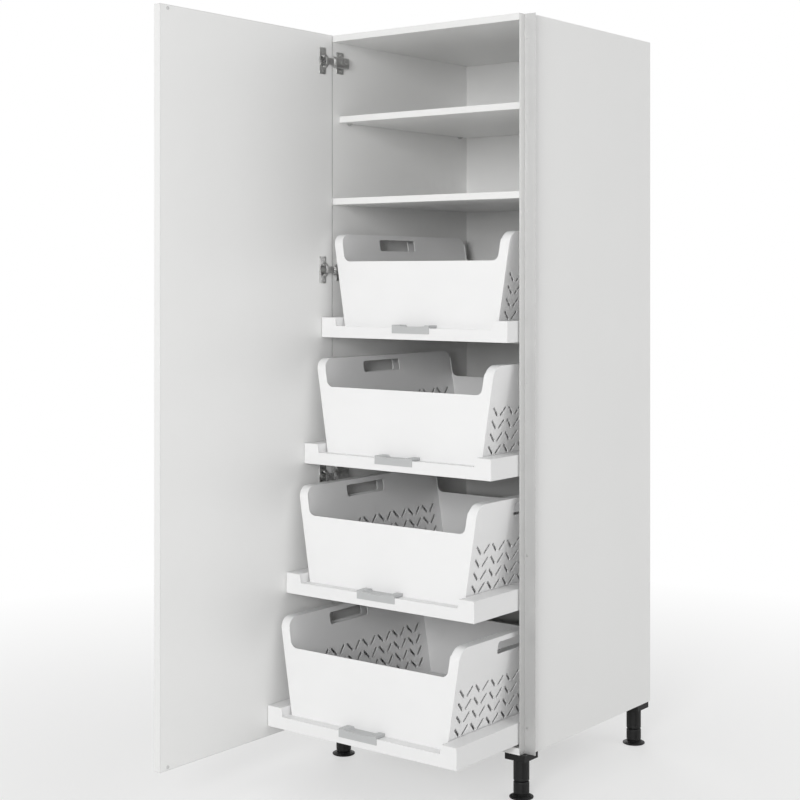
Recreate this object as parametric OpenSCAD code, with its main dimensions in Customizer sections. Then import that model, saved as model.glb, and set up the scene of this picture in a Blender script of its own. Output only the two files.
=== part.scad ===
// Tall laundry cabinet: a carcass on four levelling feet, two shelves above, and four pull-out
// trays below, each with a lift-off basket. The door hangs on the left and stands open at a right
// angle. The trays are pulled out in steps, the lowest one furthest.
// Millimetres, Z up. Every module works in the cabinet's own frame: x = 0 at the outer left side,
// y = 0 at the carcass's front edge with +y towards the back, z = 0 at the carcass's underside.
// placed() then moves it so that the origin is the bottom centre of the whole cabinet as it stands.

/* [Carcass] */
// Outer width of the carcass
body_w = 600; // [500:1:800]
// Outer depth of the carcass
body_d = 600; // [560:1:700]
// Height of the carcass without the feet
body_h = 1728; // [1640:1:2100]
// Thickness of the panels and shelves
panel_t = 16; // [15:0.5:19]
// Thickness of the back panel
back_t = 8; // [5:0.5:10]
// How far the back panel reaches into the rebate of each side
back_rebate = 8; // [5:0.5:9]

/* [Shelves] */
// Free height between the top basket's rim and the fixed shelf
shelf_over_basket = 76; // [60:1:110]
// Distance of the adjustable shelf's top below the carcass's top
loose_shelf_drop = 204; // [150:1:250]
// Distance of the adjustable shelf's front edge behind the carcass's front edge
loose_shelf_setback = 26; // [10:1:60]
// Gap between the adjustable shelf and each side, and the back
loose_shelf_gap = 1; // [0.5:0.5:3]
// Diameter of a shelf pin's peg
pin_d = 5; // [4:0.5:6]
// How deep a shelf pin's peg goes into the side
pin_deep = 9; // [6:0.5:12]
// Distance of a shelf pin from the shelf's front or back edge
pin_inset = 37; // [25:1:80]
// Reach of a shelf pin's pad under the shelf
pin_pad_reach = 9; // [6:0.5:14]
// Width of a shelf pin's pad along the shelf
pin_pad_w = 14; // [8:0.5:20]
// Thickness of a shelf pin's pad
pin_pad_t = 2; // [1.5:0.5:4]

/* [Dowels] */
// Diameter of a carcass dowel
dowel_d = 8; // [6:0.5:9]
// How deep a dowel goes into a side
dowel_side = 11; // [8:0.5:12]
// How deep a dowel goes into the end of a board
dowel_board = 22; // [15:1:30]
// Distance of the first and the last dowel from the front and back edges
dowel_inset = 60; // [59:1:120]
// Dowels at each end of a board
dowel_count = 3; // [2:1:5]
// Radial clearance of dowels and pegs in their holes
peg_clear = 0.1; // [0.05:0.05:0.2]

/* [Grip profile] */
// Depth of the recessed grip behind the carcass's front edge
grip_depth = 22.5; // [18:0.5:30]
// Reach of the profile's flange past the outer right side
grip_reach = 15; // [5:0.5:20]
// Wall of the profile
grip_wall = 1.5; // [1:0.1:2.5]
// Screws that hold the profile
grip_screw_count = 5; // [3:1:8]
// Distance of the end screws from the profile's ends
grip_screw_inset = 60; // [30:1:150]

/* [Door] */
// Thickness of the door
door_t = 19; // [16:0.5:22]
// How far the closed door stays inside the carcass's outer side lines
door_reveal = 1.5; // [1:0.1:3]
// Gap between the closed door and the carcass, which the bumpers fill
door_gap = 2; // [1:0.1:3]
// Gap between the open door and the trays' sides
door_tray_gap = 1.5; // [1:0.1:2]
// Gap between the open door's hinge edge and the carcass's front edge
door_edge_gap = 4; // [3.5:0.1:5]
// Diameter of a door bumper
bumper_d = 8; // [6:0.5:12]
// Distance of a door bumper from the door's free edge
bumper_inset = 23; // [12:1:40]

/* [Hinges] */
// Distance of the top hinge below the carcass's top
hinge_top_drop = 68; // [50:1:100]
// Height of the second hinge above the top tray's underside
hinge_upper_rise = 170; // [90:1:200]
// Gap between the second tray's runners and the mounting plate of the hinge below them
hinge_runner_gap = 10.5; // [2:0.5:30]
// Gap between the lowest tray and the mounting plate of the hinge above it
hinge_tray_gap = 7.5; // [2:0.5:30]
// Diameter of a hinge cup
cup_d = 35; // [26:1:40]
// Depth of a hinge cup
cup_deep = 12; // [10:0.5:13]
// Distance of a cup's centre from the door's hinge edge
cup_inset = 32; // [24:0.5:36]
// Wall of a hinge cup
cup_wall = 1.4; // [1:0.1:2]
// Height of a cup's screw flange
flange_h = 68; // [56:1:70]
// Width of a cup's screw flange
flange_w = 25; // [16:1:30]
// Thickness of a cup's screw flange
flange_t = 1.5; // [1:0.1:2]
// How far the flange's middle lies past the cup's centre
flange_shift = 5; // [0:0.5:7]
// Width of the round rim around a cup
cup_rim = 2; // [1:0.5:3]
// Distance of a cup screw from the flange's end
flange_screw_inset = 8; // [6:0.5:10]
// Height of a hinge arm
arm_h = 28; // [20:1:32]
// Length of a hinge arm inside the cabinet
arm_l = 50; // [45:1:70]
// How far a hinge arm reaches in front of the carcass's front edge
arm_front = 2; // [1:0.5:3]
// Gap between a hinge arm and the side of a basket's rim
arm_rim_gap = 1; // [0.5:0.5:3]
// Sheet thickness of arms and links
arm_wall = 1.5; // [1:0.1:2]
// Thickness of a mounting plate
plate_t = 3; // [2:0.5:4]
// Height of a mounting plate over its wings
wing_h = 55; // [48:1:60]
// Width of a mounting plate's wings
wing_w = 28; // [15:1:32]
// Distance of a mounting plate's end from the front edge
plate_front = 4; // [1:0.5:10]
// Distance of the mounting plate's screws behind the front edge
plate_setback = 27; // [26:1:31]
// Spacing of the mounting plate's two screws
plate_screw_pitch = 42; // [40:1:44]
// Thickness of a hinge link
link_t = 4; // [3:0.5:5]
// Height of a hinge link
link_h = 16; // [10:1:20]
// Diameter of a hinge link's pin
link_pin_d = 3; // [2:0.5:4]
// Distance of a link's pin behind the front edge
link_pin_y = 6; // [4:0.5:10]
// Metal around a link's pin
link_boss = 1.5; // [1:0.1:1.8]
// Gap between a link and the cover of its arm
link_gap = 1; // [0.8:0.1:2]
// Gap between a link's end and the cup's floor
link_seat = 0.3; // [0.2:0.1:0.5]
// How far a link's end lies towards the hinge edge from the cup's centre
link_end_shift = 2; // [0:0.5:4]

/* [Feet] */
// Height of the carcass above the floor
foot_h = 107; // [100:1:120]
// Distance of the sockets from the carcass's sides and front edge
socket_edge = 1; // [0:0.5:20]
// Distance of the rear sockets from the carcass's back
socket_back_edge = 8; // [0:1:40]
// Side of a foot's square socket plate
socket_w = 56; // [50:1:58]
// Height of a foot's socket
socket_h = 15; // [10:1:20]
// Top plate left above a foot's tube in its socket
socket_top = 3; // [2:0.5:5]
// Distance of a socket's screws from its edges
socket_screw_inset = 5; // [4.5:0.5:6]
// How deep a socket's screws go into the carcass
foot_screw_deep = 12; // [8:0.5:13]
// Diameter of a foot's tube
tube_d = 37.6; // [30:0.2:42]
// Length of the tube below the carcass
tube_l = 65; // [55:1:70]
// Length of solid tube above the spindle's bore
tube_end = 7; // [3:0.5:12]
// Diameter of a foot's adjusting spindle
spindle_d = 21; // [14:1:24]
// Height of the spindle above the collar
spindle_l = 38; // [30:1:45]
// Radial clearance of the spindle in its tube
spindle_clear = 0.4; // [0.2:0.1:0.8]
// Height of the adjusting collar
collar_h = 29; // [20:1:32]
// Diameter of the foot's floor disc
disc_d = 57; // [45:1:70]
// Height of the floor disc up to the neck
disc_h = 8.5; // [6:0.5:12]
// Height of the straight rim of the floor disc
disc_rim = 3; // [1.5:0.5:5]
// Height of the neck between disc and collar
neck_h = 1.5; // [1:0.5:3]
// Depth of the neck behind the collar's surface
neck_deep = 2; // [1:0.5:4]
// Size of the collar's bevelled edges
collar_edge = 3; // [1:0.5:5]
// Width of the grip grooves on tube and collar
groove_w = 3.5; // [2:0.5:6]
// Depth of the grip grooves
groove_deep = 1.6; // [0.8:0.2:3]
// Grip grooves around tube and collar
groove_count = 4; // [4:1:12]
// Distance of a groove from the ends of the tube or collar
groove_inset = 7; // [5:0.5:9]

/* [Trays] */
// Height of the lowest tray's underside above the carcass's underside
tray_first_z = 25; // [22:1:40]
// Free height between a basket's rim and the tray above it
basket_headroom = 52; // [45:1:80]
// Outer height of a tray
tray_h = 50; // [44:1:60]
// Gap between a closed tray and the back panel
tray_back_gap = 14; // [8:1:40]
// Gap between a tray and each side of the carcass
tray_gap = 3; // [2.5:0.1:5]
// Width of the flat ledge along each side of a tray
ledge_w = 43; // [42:1:46]
// Wall of a tray
tray_wall = 2.5; // [2:0.5:3]
// Thickness of a tray's front and rear lips
lip_t = 4; // [3:0.5:8]
// Height of the floor that the basket stands on
tray_floor_z = 28; // [24:1:32]
// Height of the front's low middle part above that floor
dip_rise = 1; // [0.5:0.5:6]
// Slant of the ends of the front's low part, sideways
dip_slant = 3; // [0:0.5:10]
// Distance of a closed tray's front behind the carcass's front edge
tray_closed = 3; // [1:0.5:10]
// How far the top tray is pulled out in front of the carcass
pull_first = 45; // [0:1:120]
// How much further each lower tray is pulled out
pull_step = 67; // [0:1:100]

/* [Runners] */
// Distance of the runners behind a closed tray's front
rail_setback = 20; // [15:1:30]
// Distance of the runners' rear ends from a closed tray's rear
rail_end_gap = 35; // [10:1:80]
// Sheet thickness of the runners
rail_wall = 1.5; // [1:0.1:2]
// Sheet thickness of the runner's leg in the gap beside the tray
leg_wall = 1.2; // [1:0.1:1.6]
// How far the runner's base hangs under the tray
rail_drop = 4; // [3:0.5:5]
// Height of the runner's leg on the side panel above the tray's underside
leg_rise = 30; // [20:1:40]
// Outer width of a runner's track
track_w = 23; // [18:1:26]
// Distance of a track from the side panel
track_x = 14; // [8:0.5:17]
// Height of the lower track above the tray's underside
track_low = 14; // [10:1:18]
// Height above the tray's underside where the upper track begins
track_high = 18; // [17:1:26]
// Running clearance between runner members
run_clear = 0.4; // [0.2:0.1:0.8]
// Screws in each cabinet runner
rail_screw_count = 3; // [2:1:5]
// Distance of the end screws from a runner's ends
rail_screw_inset = 40; // [20:1:80]
// Distance of a runner's screws below the top of its leg
rail_screw_drop = 10; // [6:0.5:12]

/* [Clips] */
// Width of the basket clip on a tray's front
clip_w = 112; // [80:1:140]
// How far the clip reaches down the tray's front
clip_drop = 14; // [10:1:22]
// Wall of the clip
clip_t = 2; // [1.5:0.5:3]
// Width of each of the two ears at the clip's rear
ear_w = 18; // [12:1:30]
// Height of the ears above the clip's bridge
ear_h = 4.5; // [4.3:0.1:8]
// Sideways slope of an ear's inner end
ear_slope = 4; // [0:0.5:8]
// Depth of the arc in the clip's front edge
scoop_deep = 4; // [1:0.1:4]
// Distance of the arc's ends from the clip's ends
scoop_inset = 2; // [1:0.5:10]
// Thickness of the clip's front band, which the arc is cut into
scoop_band = 8; // [3:0.5:20]
// Gap between the ears and the basket
ear_gap = 0.5; // [0.3:0.1:2]

/* [Baskets] */
// Height of a basket
basket_h = 232; // [190:1:245]
// Gap between a basket's base and each ledge of its tray
base_gap = 6; // [5:0.5:30]
// Distance of a basket's rim from the tray's outer side
rim_gap = 11.5; // [10:0.5:30]
// Gap between a basket and the tray's rear lip
basket_back_gap = 4; // [2:0.5:40]
// Distance of a basket's front behind the tray's front
basket_setback = 32; // [20:1:34]
// Wall of a basket
basket_wall = 2.5; // [2:0.5:4]
// Width of the hollow side walls and their flat rim
rim_w = 24.5; // [16:0.5:34]
// Radius of the side walls' upper corners
rim_r = 30; // [15:1:50]
// Height of the low middle part of a basket's front and back
basket_dip_z = 163; // [110:1:200]
// Radius of the corners of that low part
basket_dip_r = 18; // [6:1:30]
// How far the sides of that low part stay inside the inner walls
basket_dip_inset = 1.5; // [0.5:0.5:4]
// Length of a handle slot
handle_l = 150; // [100:1:180]
// Height of a handle slot
handle_h = 29; // [20:1:35]
// Distance of a handle slot under the rim
handle_drop = 12; // [8:1:25]
// Distance of a handle slot's centre behind the basket's front
handle_y = 228; // [180:1:300]
// Radius of a handle slot's corners
handle_r = 6; // [2:0.5:10]

/* [Perforation] */
// Run of one slanted slot, along and up, between the centres of its round ends
slot_run = 16; // [10:1:20]
// Width of a slot
slot_w = 7; // [2:0.5:7]
// Distance along the wall between the end centres of neighbouring slots
slot_gap = 15; // [8:1:20]
// Spacing of the rows of slots
row_pitch = 30; // [24:0.1:32]
// Rows of slots
row_count = 4; // [2:1:4]
// Height of the top row's upper end centres above the basket's base
row_top = 132; // [125:1:145]
// Distance of the first slot's end centre behind the basket's front
slot_first = 22; // [12:1:40]

/* [Screws] */
// Diameter of a screw's shank
screw_d = 3.5; // [3:0.1:4]
// Diameter of a screw's head
screw_head_d = 7; // [6:0.2:8]
// Length of a short screw into a side or the door
screw_l = 13; // [11:1:15]
// Length of the grip profile's screws
grip_screw_l = 30; // [20:1:40]

/* [Hidden] */
$fn = 48;

tray_count = 4;
over = 1; // how far a cut runs past the face it opens
end_room = 0.5; // room past the end of a dowel, peg or cup in its hole

// Carcass
inner_w = body_w - 2 * panel_t;
board_d = body_d - back_t;

// Trays, numbered from the top
tray_pitch = tray_floor_z + basket_h + basket_headroom;
tray_w = inner_w - 2 * tray_gap;
tray_d = board_d - tray_closed - tray_back_gap;
dip_z = tray_floor_z + dip_rise;
function tray_z(n) = tray_first_z + (tray_count - n) * tray_pitch;
function pull(n) = pull_first + (n - 1) * pull_step;
function travel(n) = pull(n) + tray_closed;
function rim_z(n) = tray_z(n) + tray_floor_z + basket_h;

// Shelves
fixed_shelf_top = rim_z(1) + shelf_over_basket + panel_t;
loose_shelf_top = body_h - loose_shelf_drop;
board_tops = [panel_t, fixed_shelf_top, body_h];

// Door as it stands open
door_w = body_w - 2 * door_reveal;
door_face_x = panel_t + tray_gap - door_tray_gap;
door_edge_y = -door_edge_gap;

// Hinges
hinge_zs = [
    tray_z(4) + tray_h + hinge_tray_gap + wing_h / 2,
    tray_z(2) - rail_drop - hinge_runner_gap - wing_h / 2,
    tray_z(1) + hinge_upper_rise,
    body_h - hinge_top_drop,
];
cup_y = door_edge_y - cup_inset;
cup_hole = cup_d / 2 - cup_wall;
arm_x = panel_t + plate_t;
arm_rise = tray_gap + rim_gap - arm_rim_gap - plate_t;
link_x = arm_x + arm_rise - arm_wall - link_gap - link_t / 2;
link_leg_y = cup_y + link_end_shift;
link_leg_l = link_x - (door_face_x - cup_deep + cup_wall + link_seat);

// Feet: front left first, then front right, then the two at the back
foot_inset = socket_w / 2 + socket_edge;
foot_inset_back = socket_w / 2 + socket_back_edge;
foot_spots = [
    [foot_inset, foot_inset],
    [body_w - foot_inset, foot_inset],
    [foot_inset, body_d - foot_inset_back],
    [body_w - foot_inset, body_d - foot_inset_back],
];
collar_bottom = disc_h + neck_h;
collar_top = collar_bottom + collar_h;

// Runners, measured from the side panel and from the tray's underside
slide_x = track_x + rail_wall + run_clear;
slide_w = track_w - 2 * (rail_wall + run_clear);
slide_low = rail_wall + run_clear - rail_drop;
slide_high = tray_h - tray_wall - rail_wall - run_clear;
rail_y = tray_closed + rail_setback;
rail_l = tray_d - rail_setback - rail_end_gap;

// Baskets
basket_d = tray_d - lip_t - basket_back_gap - basket_setback;
basket_base_w = tray_w - 2 * ledge_w - 2 * base_gap;
basket_rim_w = tray_w - 2 * rim_gap;
flare = (basket_rim_w - basket_base_w) / 2 / basket_h;
lean = atan(flare);
slot_pitch = 2 * (slot_run + slot_gap);
slot_pairs = floor((basket_d - 2 * slot_first + slot_gap) / slot_pitch);
function outer_half(z) = basket_base_w / 2 + flare * z;
function inner_half(z) = outer_half(z) - rim_w;

// The whole cabinet's bottom centre
x_low = door_face_x - door_t;
x_high = body_w + grip_reach;
y_low = door_edge_y - door_w;
y_high = body_d;

module placed() {
    translate([-(x_low + x_high) / 2, -(y_low + y_high) / 2, foot_h])
        children();
}

// Copies to the left and to the mirrored place on the right
module both_sides() {
    children();
    translate([body_w, 0, 0])
        mirror([1, 0, 0])
            children();
}

// A straight row of count places between first and last
function spread(first, last, count) =
    [for (i = [0:count - 1]) first + (last - first) * i / (count - 1)];

// Countersunk screw along +x with its head's face at x = 0
module screw(length, extra = 0) {
    head = (screw_head_d - screw_d) / 2;
    rotate([0, 90, 0]) {
        cylinder(h = length, d = screw_d + 2 * extra);
        cylinder(h = head, d1 = screw_head_d + 2 * extra, d2 = screw_d + 2 * extra);
    }
}

// Carcass

module dowel_places() {
    for (top = board_tops, y = spread(dowel_inset, board_d - dowel_inset, dowel_count))
        translate([panel_t, y, top - panel_t / 2])
            rotate([0, 90, 0])
                children();
}

module dowel_holes() {
    both_sides()
        dowel_places()
            translate([0, 0, -dowel_side - end_room])
                cylinder(
                    h = dowel_side + dowel_board + 2 * end_room,
                    d = dowel_d + 2 * peg_clear
                );
}

module carcass_dowels() {
    color("burlywood")
        placed()
            both_sides()
                dowel_places()
                    translate([0, 0, -dowel_side])
                        cylinder(h = dowel_side + dowel_board, d = dowel_d);
}

module pin_places() {
    pin_front = loose_shelf_setback + pin_inset;
    pin_back = board_d - loose_shelf_gap - pin_inset;
    for (y = [pin_front, pin_back])
        translate([panel_t, y, loose_shelf_top - panel_t - pin_d / 2])
            children();
}

module pin_holes() {
    both_sides()
        pin_places()
            rotate([0, 90, 0])
                translate([0, 0, -pin_deep - end_room])
                    cylinder(h = pin_deep + end_room + over, d = pin_d + 2 * peg_clear);
}

module shelf_pins() {
    color("silver")
        placed()
            both_sides()
                pin_places() {
                    rotate([0, 90, 0])
                        translate([0, 0, -pin_deep])
                            cylinder(h = pin_deep + pin_pad_reach, d = pin_d);
                    translate([0, -pin_pad_w / 2, pin_d / 2 - pin_pad_t])
                        cube([pin_pad_reach, pin_pad_w, pin_pad_t]);
                }
}

// Left side panel from y = front to the back, with the back panel's rebate
module side_blank(front) {
    difference() {
        translate([0, front, 0])
            cube([panel_t, body_d - front, body_h]);
        translate([panel_t - back_rebate, board_d, -over])
            cube([back_rebate + over, back_t + over, body_h + 2 * over]);
    }
}

module side_holes() {
    dowel_holes();
    pin_holes();
    rail_screw_set(peg_clear);
    foot_screw_set(peg_clear);
}

module side_left() {
    color("white")
        placed()
            difference() {
                side_blank(0);
                side_holes();
                plate_screw_set(peg_clear);
            }
}

module side_right() {
    color("white")
        placed()
            difference() {
                translate([body_w, 0, 0])
                    mirror([1, 0, 0])
                        side_blank(grip_depth);
                side_holes();
                grip_screw_set(peg_clear);
            }
}

module board(top) {
    difference() {
        translate([panel_t, 0, top - panel_t])
            cube([inner_w, board_d, panel_t]);
        dowel_holes();
    }
}

module top_panel() {
    color("white")
        placed()
            board(body_h);
}

module bottom_panel() {
    color("white")
        placed()
            difference() {
                board(panel_t);
                foot_screw_set(peg_clear);
            }
}

module fixed_shelf() {
    color("white")
        placed()
            board(fixed_shelf_top);
}

module back_panel() {
    color("white")
        placed()
            translate([panel_t - back_rebate, board_d, 0])
                cube([inner_w + 2 * back_rebate, back_t, body_h]);
}

module adjustable_shelf() {
    depth = board_d - loose_shelf_gap - loose_shelf_setback;
    color("white")
        placed()
            translate([panel_t + loose_shelf_gap, loose_shelf_setback, loose_shelf_top - panel_t])
                cube([inner_w - 2 * loose_shelf_gap, depth, panel_t]);
}

// Grip profile: an L in two straight lengths. Its web stands beside the boards' ends and its
// flange lies on the right side's front edge.

module grip_screw_set(extra = 0) {
    for (z = spread(grip_screw_inset, body_h - grip_screw_inset, grip_screw_count))
        translate([body_w - panel_t / 2, grip_depth - grip_wall, z])
            rotate([0, 0, 90])
                screw(grip_screw_l, extra);
}

module grip_web() {
    color("silver")
        placed()
            translate([body_w - panel_t, 0, 0])
                cube([grip_wall, grip_depth - grip_wall, body_h]);
}

module grip_flange() {
    color("silver")
        placed()
            difference() {
                translate([body_w - panel_t, grip_depth - grip_wall, 0])
                    cube([panel_t + grip_reach, grip_wall, body_h]);
                grip_screw_set(peg_clear);
            }
}

module grip_screws() {
    color("silver")
        placed()
            grip_screw_set();
}

// Door and hinges

module at_hinges() {
    for (z = hinge_zs)
        translate([0, 0, z])
            children();
}

module cup_screw_set(extra = 0) {
    at_hinges()
        for (side = [-1, 1])
            translate([
                door_face_x + flange_t,
                cup_y - flange_shift,
                side * (flange_h / 2 - flange_screw_inset),
            ])
                mirror([1, 0, 0])
                    screw(screw_l, extra);
}

module door_panel() {
    color("white")
        placed()
            difference() {
                translate([x_low, y_low, 0])
                    cube([door_t, door_w, body_h]);
                at_hinges()
                    translate([door_face_x - cup_deep - end_room, cup_y, 0])
                        rotate([0, 90, 0])
                            cylinder(h = cup_deep + end_room + over, d = cup_d + 2 * peg_clear);
                cup_screw_set(peg_clear);
            }
}

module door_bumpers() {
    color("gainsboro")
        placed()
            for (z = [panel_t / 2, body_h - panel_t / 2])
                translate([door_face_x, y_low + bumper_inset, z])
                    rotate([0, 90, 0])
                        cylinder(h = door_gap, d = bumper_d);
}

module hinge_cups() {
    color("silver")
        placed()
            difference() {
                at_hinges()
                    translate([door_face_x, cup_y, 0]) {
                        translate([-cup_deep, 0, 0])
                            rotate([0, 90, 0])
                                cylinder(h = cup_deep, d = cup_d);
                        rotate([0, 90, 0])
                            cylinder(h = flange_t, d = cup_d + 2 * cup_rim);
                        translate([0, -flange_shift - flange_w / 2, -flange_h / 2])
                            cube([flange_t, flange_w, flange_h]);
                    }
                at_hinges()
                    translate([door_face_x - cup_deep + cup_wall, cup_y, 0])
                        rotate([0, 90, 0])
                            cylinder(h = cup_deep + flange_t + over, r = cup_hole);
                cup_screw_set(peg_clear);
            }
}

module hinge_cup_screws() {
    color("silver")
        placed()
            cup_screw_set();
}

// Each link turns on a pin in its arm, passes over the door's edge and bends down into the cup
module hinge_links() {
    boss_r = link_pin_d / 2 + link_boss;
    color("silver")
        placed()
            at_hinges()
                translate([0, 0, -link_h / 2])
                    difference() {
                        union() {
                            translate([link_x - link_t / 2, link_leg_y - link_t / 2, 0])
                                cube([link_t, link_pin_y - link_leg_y + link_t / 2, link_h]);
                            translate([link_x - link_leg_l, link_leg_y - link_t / 2, 0])
                                cube([link_leg_l, link_t, link_h]);
                            translate([link_x, link_pin_y, 0])
                                cylinder(h = link_h, r = boss_r);
                        }
                        translate([link_x, link_pin_y, -over])
                            cylinder(h = link_h + 2 * over, d = link_pin_d + 2 * peg_clear);
                    }
}

module hinge_link_pins() {
    color("dimgray")
        placed()
            at_hinges()
                translate([link_x, link_pin_y, -arm_h / 2])
                    cylinder(h = arm_h, d = link_pin_d);
}

module hinge_arms() {
    color("silver")
        placed()
            difference() {
                at_hinges()
                    translate([arm_x, -arm_front, -arm_h / 2])
                        cube([arm_rise, arm_l + arm_front, arm_h]);
                at_hinges()
                    translate([arm_x - over, -arm_front - over, -arm_h / 2 + arm_wall])
                        cube([
                            arm_rise - arm_wall + over,
                            arm_l + arm_front - arm_wall + over,
                            arm_h - 2 * arm_wall,
                        ]);
                at_hinges()
                    translate([link_x, link_pin_y, -arm_h / 2 - over])
                        cylinder(h = arm_h + 2 * over, d = link_pin_d + 2 * peg_clear);
            }
}

module plate_screw_set(extra = 0) {
    at_hinges()
        for (side = [-1, 1])
            translate([arm_x, plate_setback, side * plate_screw_pitch / 2])
                mirror([1, 0, 0])
                    screw(screw_l, extra);
}

module hinge_plates() {
    color("silver")
        placed()
            difference() {
                at_hinges() {
                    translate([panel_t, plate_front, -arm_h / 2])
                        cube([plate_t, arm_l - plate_front, arm_h]);
                    translate([panel_t, plate_setback - wing_w / 2, -wing_h / 2])
                        cube([plate_t, wing_w, wing_h]);
                }
                plate_screw_set(peg_clear);
            }
}

module hinge_plate_screws() {
    color("silver")
        placed()
            plate_screw_set();
}

// Feet

module at_feet() {
    for (spot = foot_spots)
        translate([spot[0], spot[1], 0])
            children();
}

// No wood stands over the floor plan of the grip's recess, so no screw goes there
function in_grip_recess(x, y) =
    x > body_w - panel_t - screw_head_d / 2 && y < grip_depth + screw_head_d / 2;

module foot_screw_set(extra = 0) {
    reach = socket_w / 2 - socket_screw_inset;
    for (spot = foot_spots, dx = [-reach, reach], dy = [-reach, reach])
        if (!in_grip_recess(spot[0] + dx, spot[1] + dy))
            translate([spot[0] + dx, spot[1] + dy, -socket_h])
                rotate([0, -90, 0])
                    screw(socket_h + foot_screw_deep, extra);
}

module foot_sockets() {
    color("#222222")
        placed()
            difference() {
                at_feet()
                    translate([-socket_w / 2, -socket_w / 2, -socket_h])
                        cube([socket_w, socket_w, socket_h]);
                at_feet()
                    translate([0, 0, -socket_h - over])
                        cylinder(h = socket_h - socket_top + over, d = tube_d + 2 * peg_clear);
                foot_screw_set(peg_clear);
            }
}

module foot_screws() {
    color("silver")
        placed()
            foot_screw_set();
}

// Upright grooves around a foot, from z = low to high, cut groove_deep into radius r
module grooves(r, low, high) {
    for (i = [0:groove_count - 1])
        rotate([0, 0, 45 + 360 * i / groove_count])
            translate([r - groove_deep, -groove_w / 2, low])
                cube([groove_deep + over, groove_w, high - low]);
}

module foot_tubes() {
    color("#222222")
        placed()
            at_feet()
                difference() {
                    translate([0, 0, -tube_l])
                        cylinder(h = tube_l - socket_top, d = tube_d);
                    translate([0, 0, -tube_l - over])
                        cylinder(
                            h = tube_l - socket_top - tube_end + over,
                            d = spindle_d + 2 * spindle_clear
                        );
                    grooves(tube_d / 2, -tube_l + groove_inset, -socket_h - groove_inset);
                }
}

// One adjuster: floor disc, neck, grooved collar and spindle
module foot(i) {
    collar_r = tube_d / 2;
    neck_r = collar_r - neck_deep;
    color("#222222")
        placed()
            translate([foot_spots[i - 1][0], foot_spots[i - 1][1], -foot_h])
                difference() {
                    rotate_extrude()
                        polygon([
                            [0, 0],
                            [disc_d / 2 - disc_rim / 3, 0],
                            [disc_d / 2, disc_rim / 3],
                            [disc_d / 2, disc_rim],
                            [collar_r, disc_h],
                            [neck_r, disc_h],
                            [neck_r, collar_bottom],
                            [collar_r - collar_edge / 2, collar_bottom],
                            [collar_r, collar_bottom + collar_edge],
                            [collar_r, collar_top - collar_edge],
                            [collar_r - collar_edge / 2, collar_top],
                            [spindle_d / 2, collar_top],
                            [spindle_d / 2, collar_top + spindle_l],
                            [0, collar_top + spindle_l],
                        ]);
                    grooves(collar_r, collar_bottom + groove_inset, collar_top - groove_inset);
                }
}

// Runners, measured from the inner face of the left side panel

module rail_screw_set(extra = 0) {
    both_sides()
        for (n = [1:tray_count],
             y = spread(rail_y + rail_screw_inset, rail_y + rail_l - rail_screw_inset,
                        rail_screw_count))
            translate([panel_t + leg_wall, y, tray_z(n) + leg_rise - rail_screw_drop])
                mirror([1, 0, 0])
                    screw(screw_l, extra);
}

module cabinet_rails() {
    color("lightgray")
        placed()
            difference() {
                both_sides()
                    for (n = [1:tray_count])
                        translate([panel_t, rail_y, tray_z(n) - rail_drop]) {
                            cube([leg_wall, rail_l, rail_drop + leg_rise]);
                            cube([track_x + track_w, rail_l, rail_wall]);
                            for (x = [track_x, track_x + track_w - rail_wall])
                                translate([x, 0, 0])
                                    cube([rail_wall, rail_l, rail_drop + track_low]);
                        }
                rail_screw_set(peg_clear);
            }
}

module rail_screws() {
    color("silver")
        placed()
            rail_screw_set();
}

module middle_rails(n) {
    color("lightgray")
        placed()
            both_sides()
                translate([panel_t + slide_x, rail_y - travel(n) / 2, tray_z(n) + slide_low])
                    difference() {
                        cube([slide_w, rail_l, slide_high - slide_low]);
                        translate([rail_wall, -over, rail_wall])
                            cube([slide_w - 2 * rail_wall, rail_l + 2 * over,
                                  slide_high - slide_low - 2 * rail_wall]);
                    }
}

module tray_rails(n) {
    high = tray_h - tray_wall;
    color("lightgray")
        placed()
            both_sides()
                translate([panel_t + track_x, rail_y - travel(n), tray_z(n)]) {
                    translate([0, 0, high - rail_wall])
                        cube([track_w, rail_l, rail_wall]);
                    for (x = [0, track_w - rail_wall])
                        translate([x, 0, track_high])
                            cube([rail_wall, rail_l, high - track_high]);
                }
}

// Trays, each in a frame with its own front left corner of the underside at the origin

module at_tray(n) {
    translate([panel_t + tray_gap, -pull(n), tray_z(n)])
        children();
}

module tray(n) {
    channel_w = ledge_w - 2 * tray_wall;
    color("white")
        placed()
            at_tray(n)
                difference() {
                    cube([tray_w, tray_d, tray_h]);
                    // recess for the basket
                    translate([ledge_w, lip_t, tray_floor_z])
                        cube([tray_w - 2 * ledge_w, tray_d - 2 * lip_t, tray_h]);
                    // low middle part of the front
                    translate([0, lip_t + over, 0])
                        rotate([90, 0, 0])
                            linear_extrude(lip_t + 2 * over)
                                polygon([
                                    [ledge_w + dip_slant, dip_z],
                                    [tray_w - ledge_w - dip_slant, dip_z],
                                    [tray_w - ledge_w, tray_h],
                                    [tray_w - ledge_w, tray_h + over],
                                    [ledge_w, tray_h + over],
                                    [ledge_w, tray_h],
                                ]);
                    // hollow under the floor, open at the bottom and the rear
                    translate([ledge_w, lip_t, -over])
                        cube([tray_w - 2 * ledge_w, tray_d - lip_t - tray_wall,
                              tray_floor_z - tray_wall + over]);
                    // runner channels under the ledges
                    for (x = [tray_wall, tray_w - ledge_w + tray_wall])
                        translate([x, lip_t, -over])
                            cube([channel_w, tray_d, tray_h - tray_wall + over]);
                }
}

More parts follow.
